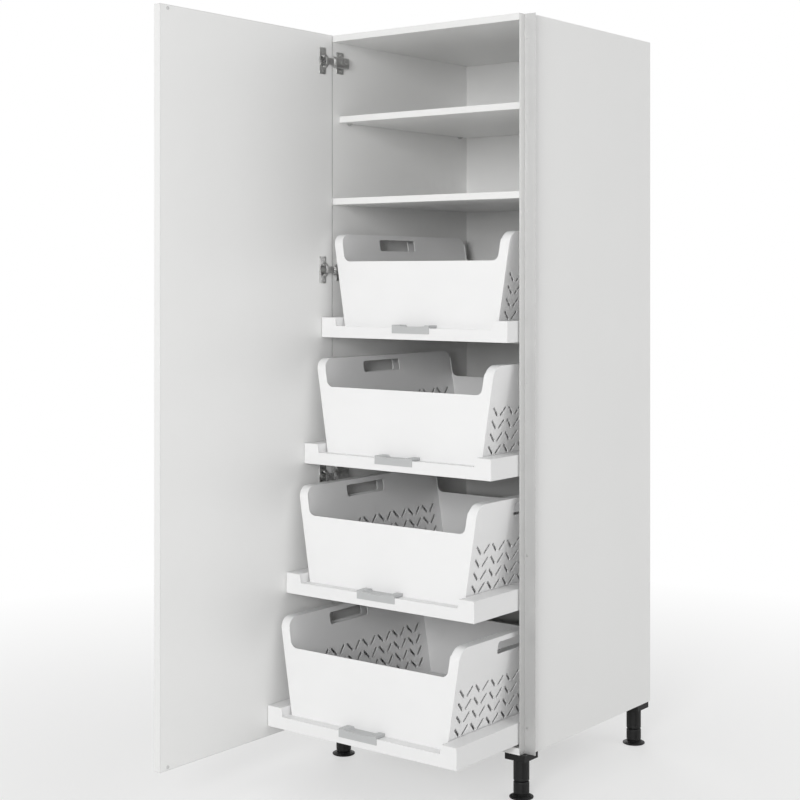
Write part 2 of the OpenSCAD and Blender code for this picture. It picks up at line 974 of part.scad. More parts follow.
// Front view of the arc in the clip's front edge, with z = 0 at the ears' top
module scoop_outline() {
    half = clip_w / 2 - scoop_inset;
    r = (half * half + scoop_deep * scoop_deep) / (2 * scoop_deep);
    intersection() {
        translate([0, r - scoop_deep])
            circle(r, $fn = 360);
        translate([-half, -scoop_deep - over])
            square([2 * half, scoop_deep + 2 * over]);
    }
}

// Front view of the gap between the clip's ears, with z = 0 at their top
module ear_gap_outline() {
    half = clip_w / 2 - ear_w;
    polygon([
        [-half, over],
        [-half, 0],
        [-half + ear_slope, -ear_h],
        [half - ear_slope, -ear_h],
        [half, 0],
        [half, over],
    ]);
}

// The clip hooks over the tray's front and reaches back to the basket
module tray_clip(n) {
    reach = basket_setback - ear_gap;
    top = clip_t + ear_h;
    color("gainsboro")
        placed()
            at_tray(n)
                translate([tray_w / 2, 0, dip_z])
                    difference() {
                        union() {
                            translate([-clip_w / 2, -clip_t, -clip_drop])
                                cube([clip_w, clip_t, clip_drop + clip_t]);
                            translate([-clip_w / 2, -clip_t, 0])
                                cube([clip_w, reach + clip_t, top]);
                        }
                        translate([0, 0, top]) {
                            from_front(-clip_t - over, scoop_band - clip_t)
                                scoop_outline();
                            from_front(scoop_band - clip_t, reach + over)
                                ear_gap_outline();
                        }
                    }
}

// Baskets, each in a frame with the middle of its front's lower edge at the origin

module at_basket(n) {
    translate([body_w / 2, basket_setback - pull(n), tray_z(n) + tray_floor_z])
        children();
}

// Front view drawn in the x z plane and pushed from y = from to y = to
module from_front(from, to) {
    translate([0, to, 0])
        rotate([90, 0, 0])
            linear_extrude(to - from)
                children();
}

// Side view drawn in the y z plane and pushed from x = from to x = to
module from_side(from, to) {
    translate([from, 0, 0])
        rotate([90, 0, 90])
            linear_extrude(to - from)
                children();
}

// Side view of the walls, inset on all edges but the lower one, with round upper corners
module wall_outline(inset, low) {
    r = rim_r - inset;
    high = basket_h - inset;
    translate([inset, low])
        square([basket_d - 2 * inset, high - r - low]);
    translate([rim_r, low])
        square([basket_d - 2 * rim_r, high - low]);
    for (y = [rim_r, basket_d - rim_r])
        translate([y, high - r])
            circle(r);
}

// Front view of the low middle part, whose sides run beside the inner walls
module dip_outline() {
    r = basket_dip_r;
    zc = basket_dip_z + r;
    xc = inner_half(zc) - basket_dip_inset - r / cos(lean);
    high = basket_h + over;
    high_half = inner_half(high) - basket_dip_inset;
    polygon([
        [-xc, basket_dip_z],
        [xc, basket_dip_z],
        [xc + r * cos(lean), zc - r * sin(lean)],
        [high_half, high],
        [-high_half, high],
        [-xc - r * cos(lean), zc - r * sin(lean)],
    ]);
    for (side = [-1, 1])
        translate([side * xc, zc])
            circle(r);
}

module handle_outline() {
    r = handle_r;
    high = basket_h - handle_drop;
    low = high - handle_h;
    translate([handle_y - handle_l / 2 + r, low])
        square([handle_l - 2 * r, handle_h]);
    translate([handle_y - handle_l / 2, low + r])
        square([handle_l, handle_h - 2 * r]);
    for (y = [-1, 1], z = [low + r, high - r])
        translate([handle_y + y * (handle_l / 2 - r), z])
            circle(r);
}

// Slanted slots in pairs that lean to and from each other, like a row of the letter V
module slot_outlines() {
    half = slot_run / 2;
    length = slot_run * sqrt(2);
    for (row = [0:row_count - 1], i = [0:slot_pairs - 1], lean_back = [0, 1])
        translate([
            slot_first + i * slot_pitch + lean_back * (slot_run + slot_gap) + half,
            row_top - row * row_pitch - half,
        ])
            rotate(lean_back == 0 ? -45 : 45) {
                square([length, slot_w], center = true);
                for (end = [-1, 1])
                    translate([end * length / 2, 0])
                        circle(slot_w / 2);
            }
}

module basket(n) {
    t = basket_wall;
    top = basket_h + over;
    far = basket_rim_w / 2 + over;
    color("white")
        placed()
            at_basket(n)
                difference() {
                    intersection() {
                        from_front(0, basket_d)
                            polygon([
                                [-outer_half(0), 0],
                                [outer_half(0), 0],
                                [outer_half(basket_h), basket_h],
                                [-outer_half(basket_h), basket_h],
                            ]);
                        from_side(-far, far)
                            wall_outline(0, 0);
                    }
                    // inside
                    from_front(t, basket_d - t)
                        polygon([
                            [-inner_half(t), t],
                            [inner_half(t), t],
                            [inner_half(top), top],
                            [-inner_half(top), top],
                        ]);
                    // low middle part of the front and back
                    from_front(-over, basket_d + over)
                        dip_outline();
                    // hollow of each side wall, open at the bottom
                    for (side = [0, 1])
                        mirror([side, 0, 0])
                            intersection() {
                                from_front(t, basket_d - t)
                                    polygon([
                                        [inner_half(-over) + t, -over],
                                        [outer_half(-over) - t, -over],
                                        [outer_half(basket_h - t) - t, basket_h - t],
                                        [inner_half(basket_h - t) + t, basket_h - t],
                                    ]);
                                from_side(0, far)
                                    wall_outline(t, -2 * over);
                            }
                    // handle slots and perforation, through both skins of each wall
                    for (side = [0, 1])
                        mirror([side, 0, 0])
                            from_side(inner_half(0) - 2 * over, far) {
                                handle_outline();
                                slot_outlines();
                            }
                }
}

side_left();
side_right();
top_panel();
bottom_panel();
back_panel();
fixed_shelf();
adjustable_shelf();
shelf_pins();
carcass_dowels();
grip_web();
grip_flange();
grip_screws();
door_panel();
door_bumpers();
hinge_cups();
hinge_cup_screws();
hinge_links();
hinge_link_pins();
hinge_arms();
hinge_plates();
hinge_plate_screws();
foot_sockets();
foot_screws();
foot_tubes();
foot(1);  // foot_1
foot(2);  // foot_2
foot(3);  // foot_3
foot(4);  // foot_4
cabinet_rails();
rail_screws();
tray(1);  // tray_1
tray(2);  // tray_2
tray(3);  // tray_3
tray(4);  // tray_4
tray_clip(1);  // tray_clip_1
tray_clip(2);  // tray_clip_2
tray_clip(3);  // tray_clip_3
tray_clip(4);  // tray_clip_4
tray_rails(1);  // tray_rails_1
tray_rails(2);  // tray_rails_2
tray_rails(3);  // tray_rails_3
tray_rails(4);  // tray_rails_4
middle_rails(1);  // middle_rails_1
middle_rails(2);  // middle_rails_2
middle_rails(3);  // middle_rails_3
middle_rails(4);  // middle_rails_4
basket(1);  // basket_1
basket(2);  // basket_2
basket(3);  // basket_3
basket(4);  // basket_4
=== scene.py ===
import math

import bmesh
import bpy
from mathutils import Matrix, Vector
from mathutils.geometry import tessellate_polygon


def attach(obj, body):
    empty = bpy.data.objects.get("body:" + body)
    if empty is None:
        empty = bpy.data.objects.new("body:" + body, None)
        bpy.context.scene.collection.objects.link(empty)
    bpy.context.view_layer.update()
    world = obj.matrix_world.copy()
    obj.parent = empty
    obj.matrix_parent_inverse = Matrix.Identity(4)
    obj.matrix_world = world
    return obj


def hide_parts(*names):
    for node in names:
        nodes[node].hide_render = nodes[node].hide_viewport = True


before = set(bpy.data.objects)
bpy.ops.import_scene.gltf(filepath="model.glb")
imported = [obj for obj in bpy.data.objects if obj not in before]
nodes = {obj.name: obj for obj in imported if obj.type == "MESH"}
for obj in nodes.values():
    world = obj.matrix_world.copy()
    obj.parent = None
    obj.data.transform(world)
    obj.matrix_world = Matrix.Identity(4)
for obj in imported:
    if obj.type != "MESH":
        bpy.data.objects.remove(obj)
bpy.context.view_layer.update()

# Sizes in millimetres, measured from the carcass's front lower left corner

TRAYS = (1, 2, 3, 4)
CARCASS_W = 600
CARCASS_H = 1728
PANEL_T = 16
GRIP_DEPTH = 22.5
GRIP_WALL = 1.5
SHELF_SETBACK = 26
DOOR_FACE = 17.5
DOOR_HINGE_EDGE = -4
DOOR_FREE_EDGE = -601
HINGE_Z = (110, 607, 1131, 1660)
CUP_Y = -36
CUP_FLANGE_T = 1.5
PLATE_T = 3
PLATE_FACE = PANEL_T + PLATE_T
RAIL_LEG_FACE = 17.2
FEET = ((29, 29), (571, 29), (29, 564), (571, 564))
TRAY_PITCH = 312
LOWEST_TRAY_Z = 25
TRAY_Z = {n: LOWEST_TRAY_Z + (len(TRAYS) - n) * TRAY_PITCH for n in TRAYS}

# Place of the shared frame's origin in these millimetres
ORIGIN = (306.75, -0.5, -107)


def at(x, y, z):
    """A point given in the cabinet's own millimetres, in metres in the shared frame."""
    return Vector([(value - zero) / 1000 for value, zero in zip((x, y, z), ORIGIN)])


def add_object(name, data):
    new = bpy.data.objects.new(name, data)
    bpy.context.scene.collection.objects.link(new)
    return new


# Camera, level and with a vertical lens shift, fitted to the carcass's edges in the picture

PICTURE_PX = 800
FOCAL_PX = 1551
CENTRE_PX = 399.5
HORIZON_PX = 275.67
YAW = 37.729
CAMERA_AT = (2571.4, -3023.8, 1116.2)
SENSOR = 36

camera_data = bpy.data.cameras.new("camera")
camera_data.sensor_width = SENSOR
camera_data.lens = SENSOR * FOCAL_PX / PICTURE_PX
camera_data.shift_x = (PICTURE_PX / 2 - CENTRE_PX) / PICTURE_PX
camera_data.shift_y = (HORIZON_PX - PICTURE_PX / 2) / PICTURE_PX
camera_data.clip_end = 200
camera = add_object("camera", camera_data)
camera.location = at(*CAMERA_AT)
camera.rotation_euler = (math.radians(90), 0, math.radians(YAW))
bpy.context.scene.camera = camera


# Shader maths

class Wire:
    """A node's output, with arithmetic that adds Math nodes."""

    def __init__(self, shading, socket):
        self.shading = shading
        self.socket = socket

    def math(self, operation, *values):
        return self.shading.node("ShaderNodeMath", {"operation": operation}, values)

    def __add__(self, other):
        return self.math("ADD", self, other)

    def __sub__(self, other):
        return self.math("SUBTRACT", self, other)

    def __mul__(self, other):
        return self.math("MULTIPLY", self, other)

    def __pow__(self, other):
        return self.math("POWER", self, other)

    def __lt__(self, other):
        return self.math("LESS_THAN", self, other)

    def __abs__(self):
        return self.math("ABSOLUTE", self)

    def most(self, other):
        return self.math("MAXIMUM", self, other)

    __radd__ = __add__
    __rmul__ = __mul__


class Shading:
    """The nodes of one material or world."""

    def __init__(self, tree):
        self.tree = tree

    def node(self, kind, settings=None, sockets=(), output=0):
        """A new node with its settings, then the values or links of its sockets."""
        new = self.tree.nodes.new(kind)
        for key, value in (settings or {}).items():
            setattr(new, key, value)
        named = sockets if isinstance(sockets, dict) else dict(enumerate(sockets))
        for key, value in named.items():
            self.join(new.inputs[key], value)
        if output == "all":
            return [Wire(self, socket) for socket in new.outputs]
        return Wire(self, new.outputs[output])

    def join(self, socket, value):
        if isinstance(value, Wire):
            self.tree.links.new(value.socket, socket)
        elif socket.type == "RGBA" and len(value) == 3:
            socket.default_value = (*value, 1)
        else:
            socket.default_value = value

    def seen(self):
        """1 for what the camera sees, directly, in a gloss or through glass."""
        rays = self.node("ShaderNodeLightPath", output="all")
        by_name = {ray.socket.name: ray for ray in rays}
        direct = by_name["Is Camera Ray"]
        return direct.most(by_name["Is Glossy Ray"]).most(by_name["Is Transmission Ray"])


class Finish(Shading):
    """A material around one Principled shader. Its place is the point on the piece, in metres."""

    def __init__(self, name, **values):
        self.material = bpy.data.materials.new(name)
        self.material.use_nodes = True
        super().__init__(self.material.node_tree)
        self.shader = self.tree.nodes["Principled BSDF"]
        self.place = self.node("ShaderNodeTexCoord", output="Object")
        self.set(**values)

    def set(self, **values):
        for key, value in values.items():
            self.join(self.shader.inputs[key.replace("_", " ")], value)
        return self

    def noise(self, scale, detail=2.0, place=None):
        sockets = {"Vector": place or self.place, "Scale": scale, "Detail": detail}
        return self.node("ShaderNodeTexNoise", None, sockets)

    def stretched(self, *factors):
        return self.node("ShaderNodeVectorMath", {"operation": "MULTIPLY"}, (self.place, factors))

    def axes(self):
        return self.node("ShaderNodeSeparateXYZ", None, (self.place,), "all")

    def blend(self, factor, low, high):
        """The colour low where factor is 0, and high where it is 1."""
        # The node's colours share their names with its numbers, so they go by position
        sockets = {0: factor, 6: low, 7: high}
        return self.node("ShaderNodeMix", {"data_type": "RGBA"}, sockets, 2)

    def ramp(self, factor, low, high):
        """factor brought from low..high to 0..1, clamped."""
        return self.node("ShaderNodeMapRange", {"clamp": True}, (factor, low, high, 0.0, 1.0))

    def bump(self, height, depth, strength=1.0):
        sockets = {"Height": height, "Distance": depth, "Strength": strength}
        return self.node("ShaderNodeBump", None, sockets)


def grey(value):
    return (value, value, value * 0.992)


# Finishes

def melamine(name, tone, bands):
    """White melamine board with a pearl texture. Each band is a taped edge: its axis, its place in
    the cabinet's millimetres and the way into the board."""
    tape_t = 0.0009
    seam_half = 0.00012
    f = Finish(name, Specular_IOR_Level=0.45)
    axis = dict(zip("xyz", f.axes()))
    pearl = f.noise(1400, 3.0)
    cloud = f.noise(3.5, 3.0)
    colour = f.blend(cloud, grey(tone * 0.985), grey(tone * 1.015))
    rough = 0.3 + pearl * 0.12
    height = pearl
    for letter, place, way in bands:
        depth = (axis[letter] - getattr(at(place, place, place), letter)) * way
        tape = depth < tape_t
        seam = abs(depth - tape_t) < seam_half
        colour = f.blend(tape, colour, grey(tone * 0.95))
        colour = f.blend(seam, colour, grey(tone * 0.45))
        rough = rough + tape * 0.1
        height = height - seam * 3.0
    return f.set(Base_Color=colour, Roughness=rough, Normal=f.bump(height, 0.00004, 0.6)).material


def moulded(name, tone, rough, tint=(1, 1, 1), grain=0.00003, gloss=0.5):
    """Moulded plastic with the fine grain of an eroded mould and slightly polished high spots."""
    f = Finish(name, Specular_IOR_Level=gloss)
    fine = f.noise(2600)
    cloud = f.noise(9, 3.0)
    flow = f.noise(1.0, 2.0, f.stretched(6, 1.5, 18))
    low = tuple(tone * 0.97 * t for t in tint)
    high = tuple(min(1, tone * 1.02) * t for t in tint)
    return f.set(
        Base_Color=f.blend(cloud * 0.5 + flow * 0.5, low, high),
        Roughness=rough - 0.08 + fine * 0.12 + cloud * 0.06,
        Normal=f.bump(fine, grain, 0.7),
    ).material


def metal(name, tone, rough, along):
    """Bare or plated metal, drawn or brushed along the axis with the smallest factor."""
    f = Finish(name, Metallic=1.0)
    lines = f.noise(1.0, 4.0, f.stretched(*along))
    cloud = f.noise(24, 3.0)
    return f.set(
        Base_Color=f.blend(cloud * 0.6 + lines * 0.4, grey(tone * 0.93), grey(tone * 1.05)),
        Roughness=rough - 0.06 + lines * 0.12 + cloud * 0.05,
        Normal=f.bump(lines, 0.00001, 0.5),
    ).material


def powder(name, tone):
    """Powder-coated or lacquered sheet with its orange-peel skin."""
    f = Finish(name, Specular_IOR_Level=0.5)
    peel = f.noise(700, 1.0)
    cloud = f.noise(14)
    return f.set(
        Base_Color=f.blend(cloud, grey(tone * 0.97), grey(tone * 1.02)),
        Roughness=0.3 + peel * 0.12,
        Normal=f.bump(peel, 0.00005, 0.6),
    ).material


def beech(name):
    f = Finish(name)
    rings = f.noise(1.0, 5.0, f.stretched(25, 900, 900))
    return f.set(
        Base_Color=f.blend(f.ramp(rings, 0.35, 0.65), (0.52, 0.34, 0.2), (0.72, 0.54, 0.36)),
        Roughness=0.6 + rings * 0.15,
        Normal=f.bump(rings, 0.0001),
    ).material


BOARD = 0.86
finishes = {
    "side_left": melamine("melamine left side", BOARD, [("y", 0, 1)]),
    "side_right": melamine("melamine right side", BOARD, [("y", GRIP_DEPTH, 1)]),
    "board": melamine("melamine boards", BOARD, [("y", 0, 1)]),
    "loose": melamine("melamine loose shelf", BOARD, [("y", SHELF_SETBACK, 1)]),
    "door": melamine("melamine door", BOARD, [
        ("y", DOOR_HINGE_EDGE, -1), ("y", DOOR_FREE_EDGE, 1), ("z", 0, 1), ("z", CARCASS_H, -1),
    ]),
    "back": powder("lacquered fibreboard", BOARD * 0.97),
    "dowel": beech("beech dowel"),
    "profile": metal("anodised profile", 0.60, 0.50, (1600, 1600, 6)),
    "zinc": metal("zinc plated steel", 0.60, 0.30, (60, 60, 60)),
    "nickel": metal("nickel plated steel", 0.62, 0.26, (90, 700, 90)),
    "runner": powder("powder coated steel", 0.74),
    "bumper": moulded("clear bumper", 0.62, 0.25),
    "foot": moulded("black plastic", 0.01, 0.5, grain=0.00006, gloss=0.25),
    "tray": moulded("tray plastic", 0.84, 0.46, grain=0.00005),
    "clip": moulded("clip plastic", 0.5, 0.36, (0.98, 0.995, 1)),
    "basket": moulded("basket plastic", 0.86, 0.4),
}

FINISH_OF = {
    "side_left": "side_left",
    "side_right": "side_right",
    "top_panel": "board",
    "bottom_panel": "board",
    "fixed_shelf": "board",
    "adjustable_shelf": "loose",
    "door_panel": "door",
    "back_panel": "back",
    "carcass_dowels": "dowel",
    "grip_web": "profile",
    "grip_flange": "profile",
    "grip_screws": "zinc",
    "shelf_pins": "nickel",
    "door_bumpers": "bumper",
    "foot_sockets": "foot",
    "foot_screws": "zinc",
    "foot_tubes": "foot",
    "cabinet_rails": "runner",
    "rail_screws": "zinc",
    "hinge_cups": "nickel",
    "hinge_cup_screws": "zinc",
    "hinge_links": "nickel",
    "hinge_link_pins": "zinc",
    "hinge_arms": "nickel",
    "hinge_plates": "nickel",
    "hinge_plate_screws": "zinc",
}
for n in TRAYS:
    FINISH_OF[f"foot_{n}"] = "foot"
    FINISH_OF[f"tray_{n}"] = "tray"
    FINISH_OF[f"tray_clip_{n}"] = "clip"
    FINISH_OF[f"tray_rails_{n}"] = "runner"
    FINISH_OF[f"middle_rails_{n}"] = "runner"
    FINISH_OF[f"basket_{n}"] = "basket"

# Radius in millimetres to which the sharp edges of each finish are broken. A tray's stays under
# half of the step in its front.
EDGE_OF = {
    "side_left": 0.5,
    "side_right": 0.5,
    "board": 0.5,
    "loose": 0.5,
    "door": 0.7,
    "back": 0.3,
    "profile": 0.3,
    "nickel": 0.35,
    "runner": 0.4,
    "foot": 0.8,
    "tray": 0.45,
    "clip": 0.5,
    "basket": 0.8,
    "bumper": 1.0,
}


def break_edges(piece, radius):
    """Welds the carried-over mesh and rounds its sharp edges, as modifiers."""
    weld = piece.modifiers.new("weld", "WELD")
    weld.merge_threshold = 0.00002
    flat = piece.modifiers.new("flat faces", "DECIMATE")
    flat.decimate_type = "DISSOLVE"
    flat.angle_limit = math.radians(0.6)
    bevel = piece.modifiers.new("broken edges", "BEVEL")
    bevel.width = radius / 1000
    bevel.segments = 2
    bevel.limit_method = "ANGLE"
    bevel.angle_limit = math.radians(32)
    bevel.use_clamp_overlap = True
    piece.modifiers.new("flat shading kept", "WEIGHTED_NORMAL")


for node_name, finish_name in FINISH_OF.items():
    piece = nodes[node_name]
    piece.data.materials.clear()
    piece.data.materials.append(finishes[finish_name])
    if finish_name in EDGE_OF:
        break_edges(piece, EDGE_OF[finish_name])


# Mesh code. Outlines are in millimetres and meshes in metres.

IN_PLACE = Matrix.Identity(4)
CORNER_STEPS = 5


def add_piece(name, mesh, body, node):
    """A piece in place of a node, with the node's finish."""
    finish = FINISH_OF[node]
    piece = add_object(name, mesh)
    mesh.materials.append(finishes[finish])
    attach(piece, body)
    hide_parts(node)


def arc(centre, radius, start, end, steps):
    """Points on an arc in the plane, with the angles in degrees."""
    angles = [math.radians(start + (end - start) * i / steps) for i in range(steps + 1)]
    return [(centre[0] + radius * math.cos(a), centre[1] + radius * math.sin(a)) for a in angles]


def hole(centre, radius, steps=24):
    return arc(centre, radius, 360, 360 / steps, steps - 1)


def rounded(corners, radius):
    """A closed outline with each of its corners rounded."""
    points = []
    for i, corner in enumerate(corners):
        here = Vector(corner)
        back = (Vector(corners[i - 1]) - here).normalized()
        ahead = (Vector(corners[(i + 1) % len(corners)]) - here).normalized()
        half = back.angle(ahead) / 2
        centre = here + (back + ahead).normalized() * radius / math.sin(half)
        spokes = [here + way * radius / math.tan(half) - centre for way in (back, ahead)]
        start, end = (math.degrees(math.atan2(spoke.y, spoke.x)) for spoke in spokes)
        turn = (end - start + 180) % 360 - 180
        points += arc(centre, radius, start, start + turn, CORNER_STEPS)
    return points


def made(name, bm):
    """The mesh of a finished bmesh."""
    mesh = bpy.data.meshes.new(name)
    bm.to_mesh(mesh)
    bm.free()
    return mesh


def weld(mesh):
    bm = bmesh.new()
    bm.from_mesh(mesh)
    bmesh.ops.remove_doubles(bm, verts=bm.verts, dist=0.000002)
    bmesh.ops.recalc_face_normals(bm, faces=bm.faces)
    bm.to_mesh(mesh)
    bm.free()


def smooth(mesh, angle=35):
    mesh.shade_smooth()
    mesh.set_sharp_from_angle(angle=math.radians(angle))
    return mesh


def joined(name, parts):
    """One mesh from (mesh, matrix) pairs."""
    bm = bmesh.new()
    for mesh, matrix in parts:
        start = len(bm.verts)
        bm.from_mesh(mesh)
        bm.verts.ensure_lookup_table()
        bmesh.ops.transform(bm, matrix=matrix, verts=bm.verts[start:])
    return made(name, bm)


def towards(direction, place):
    """Matrix that takes z to the direction and the origin to the place."""
    turn = Vector(direction).to_track_quat("Z", "Y").to_matrix().to_4x4()
    return Matrix.Translation(place) @ turn


def sheet_mesh(name, outlines, thickness, bevel):
    """A plate from z = 0 up, with holes and broken edges. The first outline is the outer one."""
    curve = bpy.data.curves.new(name, "CURVE")
    curve.dimensions = "2D"
    curve.fill_mode = "BOTH"
    curve.extrude = (thickness / 2 - bevel) / 1000
    curve.bevel_depth = bevel / 1000
    curve.bevel_resolution = 2
    curve.offset = -bevel / 1000
    for outline in outlines:
        spline = curve.splines.new("POLY")
        spline.points.add(len(outline) - 1)
        for point, (x, y) in zip(spline.points, outline):
            point.co = (x / 1000, y / 1000, 0, 1)
        spline.use_cyclic_u = True
    shape = add_object(name, curve)
    evaluated = shape.evaluated_get(bpy.context.evaluated_depsgraph_get())
    mesh = bpy.data.meshes.new_from_object(evaluated)
    bpy.data.objects.remove(shape)
    mesh.transform(Matrix.Translation((0, 0, thickness / 2000)))
    weld(mesh)
    return mesh


def bridge(bm, low, high, steps):
    """Faces between two rings, either of which may be a single point."""
    for i in range(steps):
        j = (i + 1) % steps
        around = [low[i % len(low)], low[j % len(low)], high[j % len(high)], high[i % len(high)]]
        bm.faces.new(list(dict.fromkeys(around)))


def turned_mesh(name, profile):
    """A body of revolution about z from (radius, height) points; a point on the axis closes it."""
    steps = 48
    bm = bmesh.new()
    rings = []
    for radius, height in profile:
        around = hole((0, 0), radius, steps) if radius else [(0, 0)]
        rings.append([bm.verts.new((x / 1000, y / 1000, height / 1000)) for x, y in around])
    for low, high in zip(rings, rings[1:]):
        bridge(bm, low, high, steps)
    bmesh.ops.recalc_face_normals(bm, faces=bm.faces)
    return made(name, bm)


def prism(name, outline, low, high):
    """An outline in the x z plane pushed along y from low to high."""
    bm = bmesh.new()
    ends = [
        [bm.verts.new((x / 1000, y / 1000, z / 1000)) for x, z in outline] for y in (low, high)
    ]
    bridge(bm, *ends, len(outline))
    for end in ends:
        bm.faces.new(end)
    bmesh.ops.recalc_face_normals(bm, faces=bm.faces)
    return made(name, bm)


# Screws

def cross_screw_mesh(head, shank, length):
    """Countersunk screw along -z with its face at z = 0, a cross recess and a thread."""
    steps = 24
    neck = 5
    pitch = 1.2
    core = shank * 0.37
    r, s = head / 2, shank / 2
    arm, half, inner = r * 0.56, r * 0.14, r * 0.18
    quarter = [(arm, -half), (arm, half), (inner, inner)]
    cross = [
        (x * math.cos(a) - y * math.sin(a), x * math.sin(a) + y * math.cos(a))
        for a in (0, math.pi / 2, math.pi, math.pi * 1.5) for x, y in quarter
    ]
    bm = bmesh.new()

    def ring(points, height, size=1.0):
        return [bm.verts.new((x * size / 1000, y * size / 1000, height / 1000)) for x, y in points]

    rim = ring(hole((0, 0), r * 0.97, steps), 0)
    top = ring(cross, 0)
    floor = ring(cross, -r * 0.55, 0.6)
    both = rim + top
    for face in tessellate_polygon([[v.co for v in rim], [v.co for v in top]]):
        bm.faces.new([both[i] for i in face])
    bridge(bm, top, floor, len(cross))
    bm.faces.new(floor)

    outline = [(r, -0.15), (s, s - r), (s, -neck)]
    for i in range(int((length - neck - 1) / pitch)):
        z = -neck - i * pitch
        outline += [(core, z - pitch * 0.3), (s, z - pitch * 0.65), (core, z - pitch)]
    last = rim
    for radius, height in outline:
        new = ring(hole((0, 0), radius, steps), height)
        bridge(bm, last, new, steps)
        last = new
    bridge(bm, last, ring([(0, 0)], -length), steps)
    bmesh.ops.recalc_face_normals(bm, faces=bm.faces)
    return smooth(made("screw", bm), 40)


SCREW_HEAD = 7
SCREW_SHANK = 3.5
SHORT_SCREW = 13
GRIP_SCREW = 30
FOOT_SCREW = 27


def screw_row(node, body, length, places):
    """One piece for all the screws of a node, each with its head's point and the way it faces."""
    screw = cross_screw_mesh(SCREW_HEAD, SCREW_SHANK, length)
    parts = [(screw, towards(facing, at(*point))) for point, facing in places]
    add_piece(node + "_driven", joined(node, parts), body, node)


# Screws beside each hinge's middle: how far above and below it, and how far along the panel
CUP_SCREW_DZ = 26
CUP_SCREW_SHIFT = -5
PLATE_SCREW_DZ = 21
PLATE_SCREW_Y = 27

screw_row("hinge_cup_screws", "door", SHORT_SCREW, [
    ((DOOR_FACE + CUP_FLANGE_T, CUP_Y + CUP_SCREW_SHIFT, z + dz), (1, 0, 0))
    for z in HINGE_Z for dz in (-CUP_SCREW_DZ, CUP_SCREW_DZ)
])
screw_row("hinge_plate_screws", "carcass", SHORT_SCREW, [
    ((PLATE_FACE, PLATE_SCREW_Y, z + dz), (1, 0, 0))
    for z in HINGE_Z for dz in (-PLATE_SCREW_DZ, PLATE_SCREW_DZ)
])

RAIL_SCREW_Y = (63, 283, 503)
RAIL_SCREW_DZ = 20

screw_row("rail_screws", "carcass", SHORT_SCREW, [
    ((x, y, TRAY_Z[n] + RAIL_SCREW_DZ), (facing, 0, 0))
    for n in TRAYS for y in RAIL_SCREW_Y
    for x, facing in ((RAIL_LEG_FACE, 1), (CARCASS_W - RAIL_LEG_FACE, -1))
])

GRIP_SCREW_Z = (60, 462, 864, 1266, 1668)

screw_row("grip_screws", "carcass", GRIP_SCREW, [
    ((CARCASS_W - PANEL_T / 2, GRIP_DEPTH - GRIP_WALL, z), (0, -1, 0)) for z in GRIP_SCREW_Z
])

# One of the foot screws would meet the grip's recess and is left out
FOOT_SCREW_OFFSETS = (-23, 23)
FOOT_FLANGE_FACE = -15

screw_row("foot_screws", "carcass", FOOT_SCREW, [
    ((x + dx, y + dy, FOOT_FLANGE_FACE), (0, 0, -1))
    for x, y in FEET for dx in FOOT_SCREW_OFFSETS for dy in FOOT_SCREW_OFFSETS
    if x + dx < CARCASS_W - PANEL_T or y + dy > GRIP_DEPTH
])


# Hinges

HOLE_R = 3.6

# Turns a mesh's x, y and z to the cabinet's y, z and x
OUTWARDS = Matrix(((0, 0, 1, 0), (1, 0, 0, 0), (0, 1, 0, 0), (0, 0, 0, 1)))


def hinge_cup_mesh():
    """Drawn cup with its screw flange: x along the door's width, y up, z out of the door."""
    rim, bore = 19.5, 16.1
    left, right, high = CUP_SCREW_SHIFT - 12.5, CUP_SCREW_SHIFT + 12.5, 34
    corner = 3
    # The round rim stands out past the flange's straight edges, on the right for most of its way
    past_left, past_right = (math.degrees(math.acos(edge / rim)) for edge in (left, right))
    outline = (
        arc((right - corner, high - corner), corner, 0, 90, CORNER_STEPS)
        + arc((left + corner, high - corner), corner, 90, 180, CORNER_STEPS)
        + arc((0, 0), rim, past_left, 360 - past_left, 10)
        + arc((left + corner, corner - high), corner, 180, 270, CORNER_STEPS)
        + arc((right - corner, corner - high), corner, 270, 360, CORNER_STEPS)
        + arc((0, 0), rim, -past_right, past_right, 20)
    )
    holes = [hole((0, 0), bore, 36)]
    holes += [hole((CUP_SCREW_SHIFT, side * CUP_SCREW_DZ), HOLE_R) for side in (1, -1)]
    flange = sheet_mesh("flange", [outline, *holes], CUP_FLANGE_T, 0.3)
    inside = turned_mesh("cup inside", [
        (bore, 1.3), (bore, -9.6), (15.6, -10.4), (14.4, -10.6), (5, -10.6), (4.2, -10.2),
        (0, -10.2),
    ])
    outside = turned_mesh("cup outside", [
        (16.3, 1.0), (17.5, 0.2), (17.5, -10.8), (17.1, -11.6), (16, -12), (0, -12),
    ])
    return joined("hinge cup", [(part, IN_PLACE) for part in (flange, inside, outside)])


def hinge_plate_mesh():
    """Mounting plate with two screwed wings: x towards the back, y up, z out of the side panel."""
    front, back, half = 4, 50, 14
    wing_front, wing_back, wing_half = 13, 41, 27.5
    cross = rounded([
        (front, -half), (wing_front, -half), (wing_front, -wing_half), (wing_back, -wing_half),
        (wing_back, -half), (back, -half), (back, half), (wing_back, half),
        (wing_back, wing_half), (wing_front, wing_half), (wing_front, half), (front, half),
    ], 2)
    holes = [hole((PLATE_SCREW_Y, side * PLATE_SCREW_DZ), HOLE_R) for side in (-1, 1)]
    return sheet_mesh("plate", [cross, *holes], PLATE_T, 0.4)


